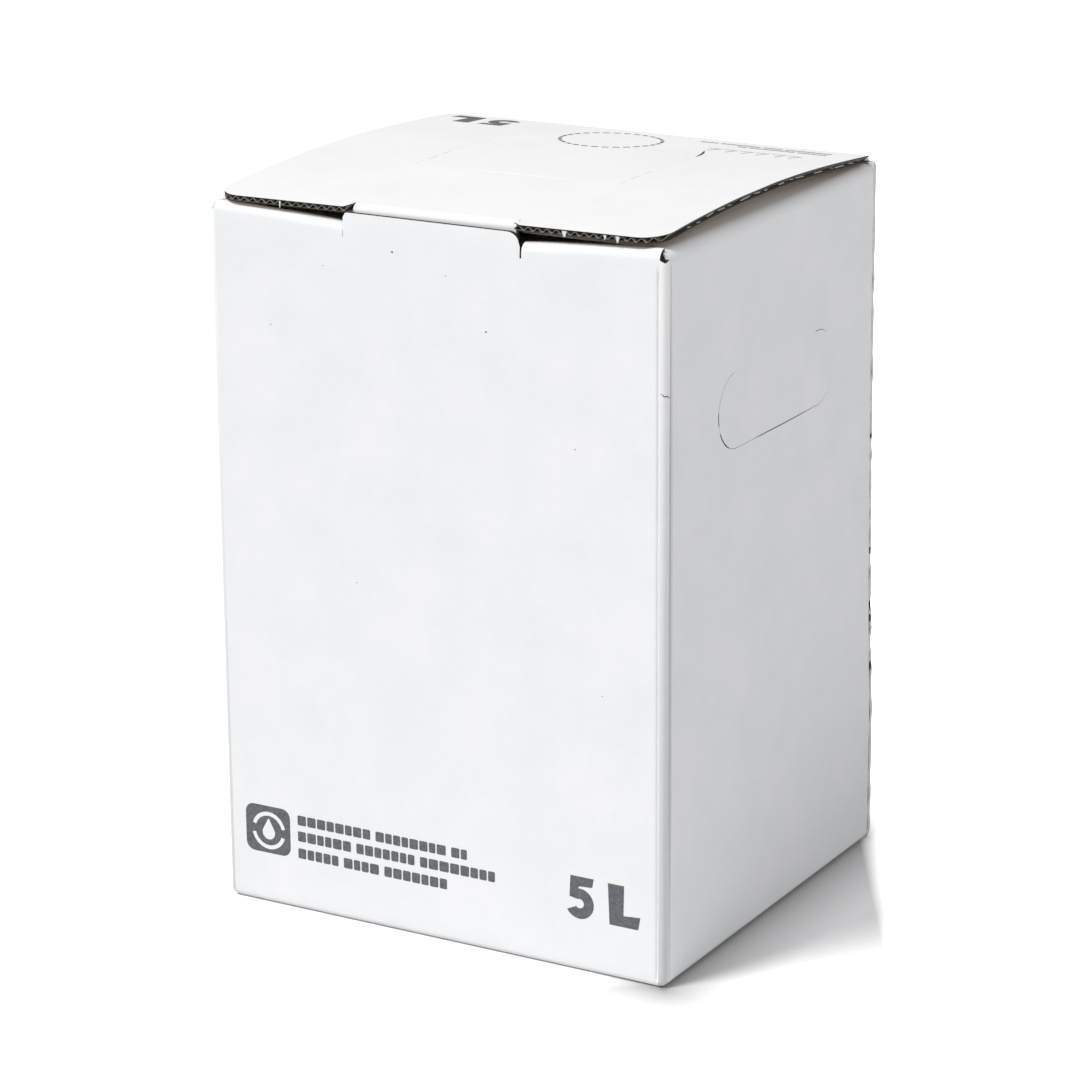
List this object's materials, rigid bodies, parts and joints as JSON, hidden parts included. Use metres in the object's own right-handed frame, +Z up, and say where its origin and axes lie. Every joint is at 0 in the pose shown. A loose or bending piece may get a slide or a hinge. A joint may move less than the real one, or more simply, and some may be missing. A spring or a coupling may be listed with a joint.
{
  "type": "bag-in-box",
  "caption": "White corrugated bag-in-box for cooking oil with a tuck-in lid, hand holds, and a sealed bag with a press tap inside.",
  "frame": {"origin": "middle of the carton's underside, on the surface it stands on", "axes": "+Z up; the front wall with the lip faces -Y; the lid's hinge is along X at the top of the rear wall"},
  "size_m": [0.168, 0.156, 0.2495],
  "materials": {
    "white_board": "matte",
    "lid_board": "matte",
    "bag_film": "gloss",
    "gland_plastic": "satin",
    "seal_rubber": "matte",
    "tap_plastic": "satin",
    "button_plastic": "satin",
    "stem_plastic": "satin",
    "cap_plastic": "satin"
  },
  "bodies": {
    "box": {"carton": "white_board", "oil_bag": "bag_film", "bag_gland": "gland_plastic", "seal_ring": "seal_rubber", "tap_body": "tap_plastic", "tap_dust_cap": "cap_plastic"},
    "lid": {"lid": "lid_board"},
    "tap_button": {"tap_button": "button_plastic", "tap_stem": "stem_plastic"}
  },
  "joints": [
    {"name": "lid_hinge", "type": "hinge", "parent": "box", "child": "lid", "pos_m": [0, 0.078, 0.245], "axis": [-1, 0, 0], "range_deg": [0, 240]},
    {"name": "tap_press", "type": "slide", "parent": "box", "child": "tap_button", "axis": [0, 1, 0], "range_m": [0, 0.004], "stiffness_N_per_m": 400}
  ]
}
